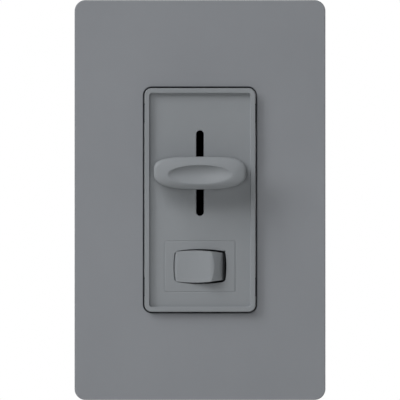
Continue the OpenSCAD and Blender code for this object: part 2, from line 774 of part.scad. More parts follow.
module choke_core() color(ferrite) on_wall() translate([0, choke_y, board_back - 1.1]) difference() {
    rod(choke_r, -choke_h, 0);
    rod(choke_bore, -choke_h - 1, 1);
}

module choke_winding() color(copper) on_wall() translate([0, choke_y, board_back - 1.1])
    for (i = [0:choke_turns - 1]) rotate([0, 0, i * 360 / choke_turns]) difference() {
        outer = choke_gap + wire_d;
        block(choke_bore - outer, choke_r + outer, -wire_d / 2, wire_d / 2,
              -choke_h - outer, outer);
        block(choke_bore - choke_gap, choke_r + choke_gap, -wire_d, wire_d,
              -choke_h - choke_gap, choke_gap);
    }

module filter_capacitor() color(film_yellow) on_wall() translate([0, -9]) {
    slab(18, 8, 0.8, board_back - 12.3, board_back - 0.3);
    for (s = sides) translate([s * 7.5, 0]) rod(0.4, board_back - 1, board_back - clearance);
}

module timing_capacitor() color("#8f2f22") on_wall() translate([-9, -19]) {
    slab(7.2, 3.6, 1, board_back - 7.5, board_back - 0.5);
    for (s = sides) translate([s * 2.5, 0]) rod(0.3, board_back - 1, board_back - clearance);
}

// An axial part lying on two legs
module axial(r, len, lift) {
    translate([0, 0, board_back - lift]) rotate([0, 90, 0]) cylinder(r = r, h = len, center = true);
    translate([0, 0, board_back - lift]) rotate([0, 90, 0])
        cylinder(r = 0.3, h = len + 4, center = true);
    for (s = sides) translate([s * (len / 2 + 1.9), 0]) rod(0.3, board_back - lift, board_back - clearance);
}

module diac() color("#c8642c") on_wall() translate([7, -19]) axial(1, 4, 1.4);

module resistors() color("#c9b48a") on_wall()
    for (y = [-23.5, -27]) translate([0, y]) axial(1.2, 6.4, 1.6);

// Back housing and terminals

module at_terminals() for (t = terminals) translate([0, t[1]]) mirror([t[0] < 0 ? 1 : 0, 0, 0]) children();

module back_housing() color(housing_black) on_wall() {
    inner_w = housing_w - 2 * housing_wall;
    inner_h = housing_h - 2 * housing_wall;
    difference() {
        union() {
            difference() {
                slab(housing_w, housing_h, 2.5, -housing_d, -0.02);
                slab(inner_w, inner_h, 1, -housing_d + housing_wall, 1);
            }
            // corner columns for the rivets
            intersection() {
                slab(housing_w, housing_h, 2.5, -housing_d, -0.02);
                for (sx = sides, sy = sides)
                    translate([sx * rivet_x, sy * rivet_y]) rod(3, -housing_d, -0.02);
            }
            // walls of the terminal bays, and ledges under the board
            at_terminals() block(bay_floor - housing_wall, housing_w / 2 - 1, -bay_h / 2 - housing_wall,
                                 bay_h / 2 + housing_wall, -housing_d + 1, bay_top + housing_wall);
            for (s = sides)
                block(-6, 6, min(s * (inner_h / 2 - 1.5), s * (inner_h / 2 + 0.5)),
                      max(s * (inner_h / 2 - 1.5), s * (inner_h / 2 + 0.5)),
                      board_back - 5, board_back - clearance);
        }
        at_terminals() {
            block(bay_floor, housing_w, -bay_h / 2, bay_h / 2, -housing_d - 1, bay_top);
            block(bay_floor - clearance, bay_floor + 0.92, -1.52, 1.52, bay_top - 1, bay_top + 3);
            translate([bay_floor - 2.5, 0, terminal_z]) rotate([0, 90, 0]) cylinder(r = 2.4, h = 4);
        }
        for (sx = sides, sy = sides) translate([sx * rivet_x, sy * rivet_y]) {
            rod(rivet_r + 0.05, -housing_d - 1, 1);
            rod(2.05, -housing_d - 1, -housing_d + 1.2);
        }
        // label recess on the back
        slab(24, 40, 1, -housing_d - 1, -housing_d + 0.4);
    }
}

module housing_rivets() color(zinc) on_wall()
    for (sx = sides, sy = sides) translate([sx * rivet_x, sy * rivet_y]) difference() {
        union() {
            rod(rivet_r, -housing_d + 0.2, yoke_t + 0.5);
            rod(2.5, yoke_t + clearance, yoke_t + 0.8);
            rod(2, -housing_d + 0.3, -housing_d + 1.18);
        }
        rod(0.9, -housing_d - 1, -housing_d + 2);
        rod(0.9, yoke_t - 1.5, yoke_t + 2);
    }

module terminal_strips() color(brass) on_wall() at_terminals() difference() {
    union() {
        block(bay_floor + clearance, bay_floor + 0.9, -bay_h / 2 + 0.4, bay_h / 2 - 0.4,
              -27.5, bay_top - 0.3);
        block(bay_floor + clearance, bay_floor + 0.9, -1.5, 1.5, bay_top - 0.5, board_back - clearance);
    }
    translate([bay_floor, 0, terminal_z]) rotate([0, 90, 0])
        cylinder(r = terminal_r + tapped, h = 5, center = true);
}

module terminal_clamps() color(zinc) on_wall() at_terminals() difference() {
    block(bay_floor + 2.6, bay_floor + 3.6, -3.9, 3.9, -25.4, -16.6);
    translate([bay_floor, 0, terminal_z]) rotate([0, 90, 0]) cylinder(r = 2.3, h = 5);
    for (s = sides)
        translate([bay_floor + 2.6, 0, terminal_z + s * 2.9]) rotate([0, 45, 0])
            cube([0.5, 9, 0.5], center = true);
}

module terminal_screws() color(brass) on_wall() at_terminals()
    translate([bay_floor + 3.62, 0, terminal_z]) difference() {
        union() {
            rotate([0, 90, 0]) cylinder(r = 3.7, h = 1.9);
            translate([-4.6, 0, 0]) rotate([0, 90, 0]) cylinder(r = terminal_r, h = 5);
        }
        translate([1.9, 0, 0]) cube([1.8, 9, 0.9], center = true);
        translate([1.9, 0, 0]) cube([1.8, 0.9, 4.6], center = true);
    }

faceplate();
adapter_plate();
adapter_screws();
box_screws();
screw_retainers();
yoke();
ground_screw();
bezel();
slider_guide();
slider_knob();
slider_carrier();
pot_case();
pot_track();
pot_slider();
wiper_contact();
rocker_button();
rocker_plunger();
plunger_spring();
contact_arm();
moving_contacts();
fulcrum_post();
switch_terminals();
fixed_contacts();
circuit_board();
triac_tab();
triac_body();
triac_leads();
triac_pad();
triac_screw();
choke_core();
choke_winding();
filter_capacitor();
timing_capacitor();
diac();
resistors();
back_housing();
housing_rivets();
terminal_strips();
terminal_clamps();
terminal_screws();
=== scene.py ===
import bpy
import bmesh
import json
import math
from mathutils import Matrix, Vector

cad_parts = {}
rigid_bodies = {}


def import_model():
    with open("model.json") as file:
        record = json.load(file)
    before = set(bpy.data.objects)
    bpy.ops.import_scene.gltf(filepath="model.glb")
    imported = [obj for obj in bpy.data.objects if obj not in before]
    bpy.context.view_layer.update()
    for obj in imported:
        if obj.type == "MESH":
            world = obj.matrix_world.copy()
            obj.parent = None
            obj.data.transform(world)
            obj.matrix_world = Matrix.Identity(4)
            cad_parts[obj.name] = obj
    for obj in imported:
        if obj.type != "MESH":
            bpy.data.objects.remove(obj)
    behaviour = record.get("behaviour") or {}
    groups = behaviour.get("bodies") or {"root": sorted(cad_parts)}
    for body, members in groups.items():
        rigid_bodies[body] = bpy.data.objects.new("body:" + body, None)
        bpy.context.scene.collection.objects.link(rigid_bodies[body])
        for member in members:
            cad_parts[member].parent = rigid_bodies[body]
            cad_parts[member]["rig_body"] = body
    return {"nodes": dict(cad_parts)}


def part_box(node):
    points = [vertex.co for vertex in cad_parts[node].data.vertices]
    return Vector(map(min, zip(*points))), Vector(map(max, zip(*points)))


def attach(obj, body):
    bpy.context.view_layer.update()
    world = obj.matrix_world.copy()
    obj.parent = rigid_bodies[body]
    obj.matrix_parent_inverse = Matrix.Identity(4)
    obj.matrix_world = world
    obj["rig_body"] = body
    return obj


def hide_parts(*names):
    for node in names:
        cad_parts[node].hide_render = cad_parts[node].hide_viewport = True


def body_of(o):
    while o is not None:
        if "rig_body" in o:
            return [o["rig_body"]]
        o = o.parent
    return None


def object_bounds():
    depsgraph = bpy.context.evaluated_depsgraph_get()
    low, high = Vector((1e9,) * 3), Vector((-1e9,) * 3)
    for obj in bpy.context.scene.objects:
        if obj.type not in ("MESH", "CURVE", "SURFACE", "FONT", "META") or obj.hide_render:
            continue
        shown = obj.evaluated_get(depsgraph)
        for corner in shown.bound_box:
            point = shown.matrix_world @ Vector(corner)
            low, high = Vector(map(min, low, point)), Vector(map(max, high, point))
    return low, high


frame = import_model()
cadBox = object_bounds()
scene = bpy.context.scene
nodes = frame["nodes"]
bodyOf = {name: body_of(piece)[0] for name, piece in nodes.items()}
mm = 0.001
onWall = Matrix.Rotation(math.pi / 2, 4, "X")  # panel axes, z out of the wall, to the frame's axes
print("frame loaded:", len(nodes), "CAD nodes")


def srgbToLinear(hexColour):
    # hex "#rrggbb" to the linear colour that the shader sockets take
    parts = [int(hexColour[i:i + 2], 16) / 255 for i in (1, 3, 5)]
    return tuple(c / 12.92 if c <= 0.04045 else ((c + 0.055) / 1.055) ** 2.4 for c in parts) + (1.0,)


def addNode(tree, kind, inputs=None, **settings):
    # one node with its settings; an input takes a value, or a socket to link from
    node = tree.nodes.new(kind)
    for name, value in settings.items():
        setattr(node, name, value)
    for key, value in (inputs or {}).items():
        socket = node.inputs[key]
        if isinstance(value, bpy.types.NodeSocket):
            tree.links.new(value, socket)
        else:
            socket.default_value = value
    return node


def newMaterial(name):
    material = bpy.data.materials.new(name)
    material.use_nodes = True
    tree = material.node_tree
    tree.nodes.clear()
    shader = addNode(tree, "ShaderNodeBsdfPrincipled")
    output = addNode(tree, "ShaderNodeOutputMaterial", {"Surface": shader.outputs["BSDF"]})
    output.location = (400, 0)
    coords = addNode(tree, "ShaderNodeTexCoord").outputs["Object"]
    return material, tree, shader, coords


# how the two families of surface vary; the colour blends where the noise passes through its middle
colourBlend = {"from": 0.3, "to": 0.7}
plasticGrain = {"flowMm": 28, "roughSpread": 0.05, "bumpStrength": 0.6, "ior": 1.49}
metalGrain = {"cloudMm": 6, "roughSpread": 0.1, "bumpStrength": 0.5, "lineDepthMm": 0.02}


def mouldedPlastic(name, colours, roughness, grainMm, bumpMm, specular=0.5):
    # moulded or coated surface: fine grain from the cavity, faint flow shading in the colour
    material, tree, shader, coords = newMaterial(name)
    flow = addNode(tree, "ShaderNodeTexNoise", {"Vector": coords, "Detail": 3.0,
                                                "Scale": 1 / (plasticGrain["flowMm"] * mm)})
    grain = addNode(tree, "ShaderNodeTexNoise", {"Vector": coords, "Scale": 1 / (grainMm * mm),
                                                 "Detail": 2.0})
    share = addNode(tree, "ShaderNodeMapRange", {"Value": flow.outputs["Fac"],
                                                 "From Min": colourBlend["from"],
                                                 "From Max": colourBlend["to"]})
    colour = addNode(tree, "ShaderNodeMix", {0: share.outputs["Result"], 6: srgbToLinear(colours[0]),
                                             7: srgbToLinear(colours[1])}, data_type="RGBA")
    tree.links.new(colour.outputs[2], shader.inputs["Base Color"])
    rough = addNode(tree, "ShaderNodeMapRange", {"Value": grain.outputs["Fac"],
                                                 "To Min": roughness - plasticGrain["roughSpread"],
                                                 "To Max": roughness + plasticGrain["roughSpread"]})
    tree.links.new(rough.outputs["Result"], shader.inputs["Roughness"])
    bump = addNode(tree, "ShaderNodeBump", {"Height": grain.outputs["Fac"], "Distance": bumpMm * mm,
                                            "Strength": plasticGrain["bumpStrength"]})
    tree.links.new(bump.outputs["Normal"], shader.inputs["Normal"])
    shader.inputs["IOR"].default_value = plasticGrain["ior"]
    shader.inputs["Specular IOR Level"].default_value = specular
    return material


def sheetMetal(name, colours, roughness, lineMm, direction):
    # rolled or turned metal: fine parallel lines from the rolls, cloudy patches from the plating
    material, tree, shader, coords = newMaterial(name)
    stretched = addNode(tree, "ShaderNodeMapping", {"Vector": coords, "Scale": direction})
    lines = addNode(tree, "ShaderNodeTexNoise", {"Vector": stretched.outputs["Vector"],
                                                 "Scale": 1 / (lineMm * mm), "Detail": 3.0})
    clouds = addNode(tree, "ShaderNodeTexNoise", {"Vector": coords, "Detail": 4.0,
                                                  "Scale": 1 / (metalGrain["cloudMm"] * mm)})
    share = addNode(tree, "ShaderNodeMapRange", {"Value": clouds.outputs["Fac"],
                                                 "From Min": colourBlend["from"],
                                                 "From Max": colourBlend["to"]})
    colour = addNode(tree, "ShaderNodeMix", {0: share.outputs["Result"], 6: srgbToLinear(colours[0]),
                                             7: srgbToLinear(colours[1])}, data_type="RGBA")
    tree.links.new(colour.outputs[2], shader.inputs["Base Color"])
    rough = addNode(tree, "ShaderNodeMapRange", {"Value": lines.outputs["Fac"],
                                                 "To Min": roughness - metalGrain["roughSpread"],
                                                 "To Max": roughness + metalGrain["roughSpread"]})
    tree.links.new(rough.outputs["Result"], shader.inputs["Roughness"])
    bump = addNode(tree, "ShaderNodeBump", {"Height": lines.outputs["Fac"],
                                            "Distance": metalGrain["lineDepthMm"] * mm,
                                            "Strength": metalGrain["bumpStrength"]})
    tree.links.new(bump.outputs["Normal"], shader.inputs["Normal"])
    shader.inputs["Metallic"].default_value = 1.0
    return material


print("materials")
# name, two colours, roughness, grain or line spacing in mm, then bump depth in mm or line direction;
# grain finer than about 0.3 mm wouldn't show, so it is drawn as coarse as that

# polycarbonate, satin moulded: an even cool grey with a broad, soft sheen and hardly any gloss
greySatin = mouldedPlastic("grey_polycarbonate_satin_moulded", ("#8a8d92", "#8d9095"),
                           0.55, 0.35, 0.004, 0.3)
# the same from a finer cavity: a shade lighter, its highlights a little tighter
bezelSatin = mouldedPlastic("grey_polycarbonate_fine_satin_moulded", ("#8b8f93", "#8e9296"),
                            0.5, 0.3, 0.003, 0.3)
# polycarbonate left as moulded: dark charcoal with a light grain that dulls its reflections
adapterPlastic = mouldedPlastic("charcoal_polycarbonate_moulded", ("#2c2e31", "#33353a"), 0.5, 0.4, 0.01)
# acetal, smooth moulded: near black and slightly waxy, which keeps the slot dark
slideAcetal = mouldedPlastic("black_acetal_moulded", ("#0c0c0d", "#111113"), 0.45, 0.3, 0.004)
# glass-filled nylon, spark-textured: black with a coarse grain that breaks up the light
housingNylon = mouldedPlastic("black_glass_filled_nylon_spark_textured", ("#17181a", "#1e1f22"),
                              0.55, 0.35, 0.03)
# nylon, natural: warm ivory with a soft gloss
ivoryNylon = mouldedPlastic("ivory_nylon_moulded", ("#d9d4c4", "#e2ddd0"), 0.4, 0.4, 0.005)
# aluminium sheet, mill finish: pale, with roll lines that draw its reflections out lengthways
aluminiumSheet = sheetMetal("aluminium_sheet_mill_finish", ("#b4b7ba", "#c2c4c6"),
                            0.38, 0.5, (1, 1, 0.03))
# steel, bright zinc: bluish silver, brighter and sharper than the aluminium
zincSteel = sheetMetal("steel_bright_zinc_plated", ("#b9bcc0", "#cfd1d0"), 0.3, 0.3, (1, 1, 1))
# brass, rolled: yellow, with faint lines along the strip
brassSheet = sheetMetal("brass_rolled", ("#b08d3e", "#c9a655"), 0.3, 0.3, (1, 1, 0.1))
# beryllium copper, rolled: reddish, with faint lines across the strip
copperSheet = sheetMetal("beryllium_copper_rolled", ("#a65f33", "#bd7443"), 0.32, 0.3, (0.1, 1, 1))
# silver, cold headed: nearly white and bright
silverRivet = sheetMetal("silver_contact_rivet", ("#cfcfca", "#e2e2de"), 0.25, 0.3, (1, 1, 1))
# steel, zinc dyed green: a metal glint in green, uneven where the dye took
greenZinc = sheetMetal("steel_green_dyed_zinc", ("#1f6d39", "#2f8a4b"), 0.35, 0.3, (1, 1, 1))
# copper wire, enamelled: deep red-brown with a tight glint along each turn
enamelWire = sheetMetal("copper_wire_enamelled", ("#8a4520", "#a8592c"), 0.25, 0.3, (1, 1, 1))
# vulcanised fibre, cut from sheet: matt tan, like hard card
vulcanFibre = mouldedPlastic("vulcanised_fibre_sheet", ("#a78a62", "#bb9c72"), 0.7, 0.25, 0.02)
# glass epoxy under a solder mask: glossy green with the weave just felt below
boardEpoxy = mouldedPlastic("glass_epoxy_green_mask", ("#1f5a30", "#2a6a3a"), 0.3, 0.6, 0.01)
# paper phenolic, punched: dull brown
phenolic = mouldedPlastic("phenolic_strip", ("#5a371f", "#6a4326"), 0.55, 0.4, 0.01)
# iron powder, pressed and painted: dark grey under an even skin of paint
ferritePaint = mouldedPlastic("iron_powder_core_painted", ("#36393d", "#414449"), 0.45, 0.3, 0.02)
# mica, split: pale and shiny, faintly cloudy
micaSheet = mouldedPlastic("mica_sheet", ("#c9c1ad", "#d9d3c4"), 0.25, 1.0, 0.01)
# epoxy, dipped: glossy and slightly uneven, in the part's own colour
yellowEpoxy = mouldedPlastic("yellow_epoxy_dipped", ("#b8901c", "#cfa52b"), 0.25, 2.0, 0.03)
redEpoxy = mouldedPlastic("red_epoxy_dipped", ("#7d2519", "#943124"), 0.25, 2.0, 0.03)
# lacquer over ceramic: tan, smooth, softly glossy
tanLacquer = mouldedPlastic("tan_lacquered_ceramic", ("#bda777", "#cdb98c"), 0.3, 1.0, 0.02)
# glass, sealed: orange and very glossy
diodeGlass = mouldedPlastic("orange_sealed_glass", ("#b85a26", "#cc6c32"), 0.15, 1.0, 0.01)

finishOf = {
    "faceplate": greySatin, "bezel": bezelSatin, "slider_knob": bezelSatin, "rocker_button": bezelSatin,
    "adapter_plate": adapterPlastic, "slider_guide": slideAcetal, "slider_carrier": slideAcetal,
    "back_housing": housingNylon, "triac_body": slideAcetal, "pot_slider": ivoryNylon,
    "rocker_plunger": ivoryNylon, "yoke": aluminiumSheet, "adapter_screws": zincSteel,
    "box_screws": zincSteel, "pot_case": zincSteel, "plunger_spring": zincSteel, "triac_tab": zincSteel,
    "triac_leads": zincSteel, "triac_screw": zincSteel, "housing_rivets": zincSteel,
    "terminal_clamps": zincSteel, "fulcrum_post": brassSheet, "switch_terminals": brassSheet,
    "terminal_strips": brassSheet, "terminal_screws": brassSheet, "contact_arm": copperSheet,
    "wiper_contact": copperSheet, "moving_contacts": silverRivet, "fixed_contacts": silverRivet,
    "ground_screw": greenZinc, "choke_winding": enamelWire, "screw_retainers": vulcanFibre,
    "circuit_board": boardEpoxy, "pot_track": phenolic, "choke_core": ferritePaint, "triac_pad": micaSheet,
    "filter_capacitor": yellowEpoxy, "timing_capacitor": redEpoxy, "resistors": tanLacquer,
    "diac": diodeGlass,
}
for nodeName, material in finishOf.items():
    mesh = nodes[nodeName].data
    mesh.materials.clear()
    mesh.materials.append(material)


def newTree(name, sizes):
    # a geometry tree with one named input for each size, and one for the material
    tree = bpy.data.node_groups.new(name, "GeometryNodeTree")
    for label, value in sizes.items():
        kind = "NodeSocketInt" if isinstance(value, int) else "NodeSocketFloat"
        tree.interface.new_socket(name=label, in_out="INPUT", socket_type=kind).default_value = value
    tree.interface.new_socket(name="Material", in_out="INPUT", socket_type="NodeSocketMaterial")
    tree.interface.new_socket(name="Geometry", in_out="OUTPUT", socket_type="NodeSocketGeometry")
    return tree, addNode(tree, "NodeGroupInput").outputs


def closeTree(tree, given, geometry):
    realised = addNode(tree, "GeometryNodeRealizeInstances", {"Geometry": geometry})
    finished = addNode(tree, "GeometryNodeSetMaterial", {"Geometry": realised.outputs["Geometry"],
                                                         "Material": given["Material"]})
    addNode(tree, "NodeGroupOutput", {"Geometry": finished.outputs["Geometry"]})


def grow(tree, sizes, material, place):
    # the tree's result as a plain mesh, moved to its place in the frame
    carrier = bpy.data.objects.new(tree.name, bpy.data.meshes.new(tree.name))
    scene.collection.objects.link(carrier)
    modifier = carrier.modifiers.new("shape", "NODES")
    modifier.node_group = tree
    identifiers = {item.name: item.identifier for item in tree.interface.items_tree
                   if item.in_out == "INPUT"}
    for label, value in sizes.items():
        modifier[identifiers[label]] = value
    modifier[identifiers["Material"]] = material
    evaluated = carrier.evaluated_get(bpy.context.evaluated_depsgraph_get())
    mesh = bpy.data.meshes.new_from_object(evaluated)
    carrier.modifiers.remove(modifier)
    bpy.data.objects.remove(carrier)
    mesh.transform(place)
    return mesh


def mergedCopy(nodeName, joinMm=0.002, flatDegrees=0.5):
    # the CAD shape with its corners joined and its flat faces whole
    shape = bmesh.new()
    shape.from_mesh(nodes[nodeName].data)
    bmesh.ops.remove_doubles(shape, verts=shape.verts, dist=joinMm * mm)
    bmesh.ops.dissolve_limit(shape, angle_limit=math.radians(flatDegrees), verts=shape.verts,
                             edges=shape.edges)
    return shape


def standFor(nodeName, mesh, suffix, sharpDegrees):
    # the mesh becomes the piece that shows instead of the CAD node
    mesh.materials.clear()
    mesh.materials.append(finishOf[nodeName])
    mesh.shade_smooth()
    mesh.set_sharp_from_angle(angle=math.radians(sharpDegrees))
    piece = bpy.data.objects.new(nodeName + suffix, mesh)
    scene.collection.objects.link(piece)
    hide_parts(nodeName)
    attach(piece, bodyOf[nodeName])
    return piece


print("mouldings and sheets with softened edges")
edgeRadius = {"faceplate": 0.22, "bezel": 0.14, "adapter_plate": 0.15, "back_housing": 0.25, "yoke": 0.12}
# the corners of the rocker's opening run into the panel and are rounder than its other edges;
# they are found by where they lie either side of the rocker's middle, in mm
openingCorner = {"node": "bezel", "height": -19.8, "across": (6.0, 9.5), "upright": (3.6, 5.6),
                 "leastDepth": 0.6, "leastDegrees": 45, "radius": 0.6, "steps": 5}
edgeSoftening = {"steps": 2, "leastDegrees": 35, "smoothDegrees": 30}


def isOpeningCorner(edge):
    start, end = (vertex.co / mm for vertex in edge.verts)
    middle = (start + end) / 2
    aside = abs(middle.z - openingCorner["height"])
    return (openingCorner["across"][0] < abs(middle.x) < openingCorner["across"][1]
            and openingCorner["upright"][0] < aside < openingCorner["upright"][1]
            and abs((end - start).normalized().y) > openingCorner["leastDepth"]
            and edge.calc_face_angle(0) > math.radians(openingCorner["leastDegrees"]))


for nodeName, radius in edgeRadius.items():
    shape = mergedCopy(nodeName)
    if nodeName == openingCorner["node"]:
        corners = [edge for edge in shape.edges if isOpeningCorner(edge)]
        bmesh.ops.bevel(shape, geom=corners, offset=openingCorner["radius"] * mm, offset_type="OFFSET",
                        segments=openingCorner["steps"], profile=0.5, affect="EDGES",
                        clamp_overlap=False)
    mesh = bpy.data.meshes.new(nodeName + "_soft")
    shape.to_mesh(mesh)
    shape.free()
    piece = standFor(nodeName, mesh, "_moulding", edgeSoftening["smoothDegrees"])
    bevel = piece.modifiers.new("edges", "BEVEL")
    bevel.width = radius * mm
    bevel.segments = edgeSoftening["steps"]
    bevel.limit_method = "ANGLE"
    bevel.angle_limit = math.radians(edgeSoftening["leastDegrees"])
    bevel.use_clamp_overlap = False
    faceNormals = piece.modifiers.new("flat faces", "WEIGHTED_NORMAL")
    faceNormals.keep_sharp = True

print("slider knob")
knob = {"halfWidth": 13.7, "halfHeight": 4.85, "foot": 8.4, "cornerAbove": 3.6, "cornerBelow": 2.7,
        "edgeRound": 1.0, "domeRise": 1.1, "endRise": 0.35, "dishHalfWidth": 9.55, "dishHalfHeight": 2.8,
        "dishShift": -0.45, "dishDepth": 1.5, "stemWidth": 1.9, "stemHeight": 3.6, "stemBottom": 4.2,
        "edgeShare": 0.165, "edgeTurnEnds": 1.29, "edgeTurnSides": 0.8, "slopePower": 1.5,
        "dishFacing": 2.3, "dishSoftness": 0.95, "dishSteepening": 0.4, "dishLevel": 0.85, "dishLean": 0.35,
        "pointsAround": 161, "rings": 81, "joinMm": 0.001, "stemOverlap": 1.0, "smoothDegrees": 50}
# where each stretch of the knob's rings ends, as a share of all of them
ringEnd = {"base": 0.05, "wall": 0.25, "edge": 0.45, "slope": 0.75}
knobLow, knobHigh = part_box("slider_knob")
knobMiddle = (knobLow.z + knobHigh.z) / 2 / mm
knobSizes = {"Half width": knob["halfWidth"] * mm, "Half height": knob["halfHeight"] * mm,
             "Foot": knob["foot"] * mm, "Top": -knobLow.y, "Corner above": knob["cornerAbove"],
             "Corner below": knob["cornerBelow"], "Edge round": knob["edgeRound"] * mm,
             "Dome rise": knob["domeRise"] * mm, "End rise": knob["endRise"],
             "Dish half width": knob["dishHalfWidth"] * mm, "Dish half height": knob["dishHalfHeight"] * mm,
             "Dish shift": knob["dishShift"] * mm, "Dish depth": knob["dishDepth"] * mm,
             "Stem width": knob["stemWidth"] * mm, "Stem height": knob["stemHeight"] * mm,
             "Stem bottom": knob["stemBottom"] * mm, "Points around": knob["pointsAround"],
             "Rings": knob["rings"]}
knobTree, given = newTree("knobShape", knobSizes)
grid = addNode(knobTree, "GeometryNodeMeshGrid", {"Size X": 1.0, "Size Y": 1.0,
                                                  "Vertices X": given["Points around"],
                                                  "Vertices Y": given["Rings"]})
gridPoint = addNode(knobTree, "GeometryNodeInputPosition").outputs[0]
spot = addNode(knobTree, "ShaderNodeSeparateXYZ", {0: gridPoint})
turn = addNode(knobTree, "ShaderNodeMath", {0: spot.outputs["X"], 1: 2 * math.pi, 2: math.pi},
               operation="MULTIPLY_ADD").outputs[0]
ring = addNode(knobTree, "ShaderNodeMath", {0: spot.outputs["Y"], 1: 0.5}, operation="ADD").outputs[0]
cosine = addNode(knobTree, "ShaderNodeMath", {0: turn}, operation="COSINE").outputs[0]
sine = addNode(knobTree, "ShaderNodeMath", {0: turn}, operation="SINE").outputs[0]
sideways = addNode(knobTree, "ShaderNodeMath", {0: sine, 1: sine}, operation="MULTIPLY").outputs[0]

# outline: a superellipse, squarer above than below
below = addNode(knobTree, "ShaderNodeMath", {0: sine, 1: 0.0}, operation="LESS_THAN").outputs[0]
corner = addNode(knobTree, "ShaderNodeMix", {0: below, 2: given["Corner above"],
                                             3: given["Corner below"]}).outputs[0]
power = addNode(knobTree, "ShaderNodeMath", {0: 2.0, 1: corner}, operation="DIVIDE").outputs[0]
outline = []
for wave, half in ((cosine, "Half width"), (sine, "Half height")):
    size = addNode(knobTree, "ShaderNodeMath", {0: wave}, operation="ABSOLUTE").outputs[0]
    raised = addNode(knobTree, "ShaderNodeMath", {0: size, 1: power}, operation="POWER").outputs[0]
    sign = addNode(knobTree, "ShaderNodeMath", {0: wave}, operation="SIGN").outputs[0]
    signed = addNode(knobTree, "ShaderNodeMath", {0: raised, 1: sign}, operation="MULTIPLY").outputs[0]
    outline.append(addNode(knobTree, "ShaderNodeMath", {0: signed, 1: given[half]},
                           operation="MULTIPLY").outputs[0])

# rings from the middle of the underside, up the wall, round the edge, up the slope, down into the dish
base = addNode(knobTree, "ShaderNodeMapRange", {"Value": ring, "From Min": 0.0,
                                                "From Max": ringEnd["base"]}).outputs[0]
wall = addNode(knobTree, "ShaderNodeMapRange", {"Value": ring, "From Min": ringEnd["base"],
                                                "From Max": ringEnd["wall"]}).outputs[0]
slopeShare = addNode(knobTree, "ShaderNodeMapRange", {"Value": ring, "From Min": ringEnd["edge"],
                                                      "From Max": ringEnd["slope"]}).outputs[0]
dishShare = addNode(knobTree, "ShaderNodeMapRange", {"Value": ring, "From Min": ringEnd["slope"],
                                                     "From Max": 1.0, "To Min": 1.0,
                                                     "To Max": 0.0}).outputs[0]
edgeTurn = addNode(knobTree, "ShaderNodeMath", {
    0: sideways, 1: knob["edgeTurnSides"] - knob["edgeTurnEnds"], 2: knob["edgeTurnEnds"]},
    operation="MULTIPLY_ADD").outputs[0]
edgeAngle = addNode(knobTree, "ShaderNodeMapRange", {"Value": ring, "From Min": ringEnd["wall"],
                                                     "From Max": ringEnd["edge"],
                                                     "To Max": edgeTurn}).outputs[0]

# how far the outline has drawn in
edgeCosine = addNode(knobTree, "ShaderNodeMath", {0: edgeAngle}, operation="COSINE").outputs[0]
drawn = addNode(knobTree, "ShaderNodeMath", {0: edgeCosine, 1: knob["edgeShare"],
                                              2: 1 - knob["edgeShare"]},
                operation="MULTIPLY_ADD").outputs[0]
outerShare = addNode(knobTree, "ShaderNodeMath", {0: drawn, 1: base}, operation="MULTIPLY").outputs[0]
across = []
for wave, half, edge in ((cosine, "Dish half width", outline[0]), (sine, "Dish half height", outline[1])):
    reach = addNode(knobTree, "ShaderNodeMath", {0: wave, 1: given[half]},
                    operation="MULTIPLY").outputs[0]
    inner = addNode(knobTree, "ShaderNodeMath", {0: reach, 1: dishShare}, operation="MULTIPLY").outputs[0]
    if half == "Dish half height":
        inner = addNode(knobTree, "ShaderNodeMath", {0: inner, 1: given["Dish shift"]},
                        operation="ADD").outputs[0]
    outer = addNode(knobTree, "ShaderNodeMath", {0: edge, 1: outerShare}, operation="MULTIPLY").outputs[0]
    across.append(addNode(knobTree, "ShaderNodeMix", {0: slopeShare, 2: outer, 3: inner}).outputs[0])

# height: the slope is shallower towards the ends
ends = addNode(knobTree, "ShaderNodeMix", {0: sideways, 2: given["End rise"], 3: 1.0}).outputs[0]
rise = addNode(knobTree, "ShaderNodeMath", {0: given["Dome rise"], 1: ends},
               operation="MULTIPLY").outputs[0]
left = addNode(knobTree, "ShaderNodeMath", {0: 1.0, 1: slopeShare}, operation="SUBTRACT").outputs[0]
eased = addNode(knobTree, "ShaderNodeMath", {0: left, 1: knob["slopePower"]},
                operation="POWER").outputs[0]
fall = addNode(knobTree, "ShaderNodeMath", {0: rise, 1: eased}, operation="MULTIPLY").outputs[0]
lastSine = addNode(knobTree, "ShaderNodeMath", {0: edgeTurn}, operation="SINE").outputs[0]
edgeSine = addNode(knobTree, "ShaderNodeMath", {0: edgeAngle}, operation="SINE").outputs[0]
missing = addNode(knobTree, "ShaderNodeMath", {0: lastSine, 1: edgeSine}, operation="SUBTRACT").outputs[0]
edgeFall = addNode(knobTree, "ShaderNodeMath", {0: missing, 1: given["Edge round"]},
                   operation="MULTIPLY").outputs[0]

# the dish: steep at its upper left, soft at its lower right, deepest near the upper edge
turned = addNode(knobTree, "ShaderNodeMath", {0: turn, 1: knob["dishFacing"]},
                 operation="SUBTRACT").outputs[0]
facing = addNode(knobTree, "ShaderNodeMath", {0: turned}, operation="COSINE").outputs[0]
softness = addNode(knobTree, "ShaderNodeMath", {0: facing, 1: -knob["dishSteepening"],
                                                 2: knob["dishSoftness"]},
                   operation="MULTIPLY_ADD").outputs[0]
square = addNode(knobTree, "ShaderNodeMath", {0: dishShare, 1: dishShare},
                 operation="MULTIPLY").outputs[0]
inward = addNode(knobTree, "ShaderNodeMath", {0: 1.0, 1: square}, operation="SUBTRACT").outputs[0]
bowl = addNode(knobTree, "ShaderNodeMath", {0: inward, 1: softness}, operation="POWER").outputs[0]
upward = addNode(knobTree, "ShaderNodeMath", {0: sine, 1: dishShare}, operation="MULTIPLY").outputs[0]
lean = addNode(knobTree, "ShaderNodeMath", {0: upward, 1: knob["dishLean"],
                                             2: knob["dishLevel"]}, operation="MULTIPLY_ADD").outputs[0]
leaned = addNode(knobTree, "ShaderNodeMath", {0: bowl, 1: lean}, operation="MULTIPLY").outputs[0]
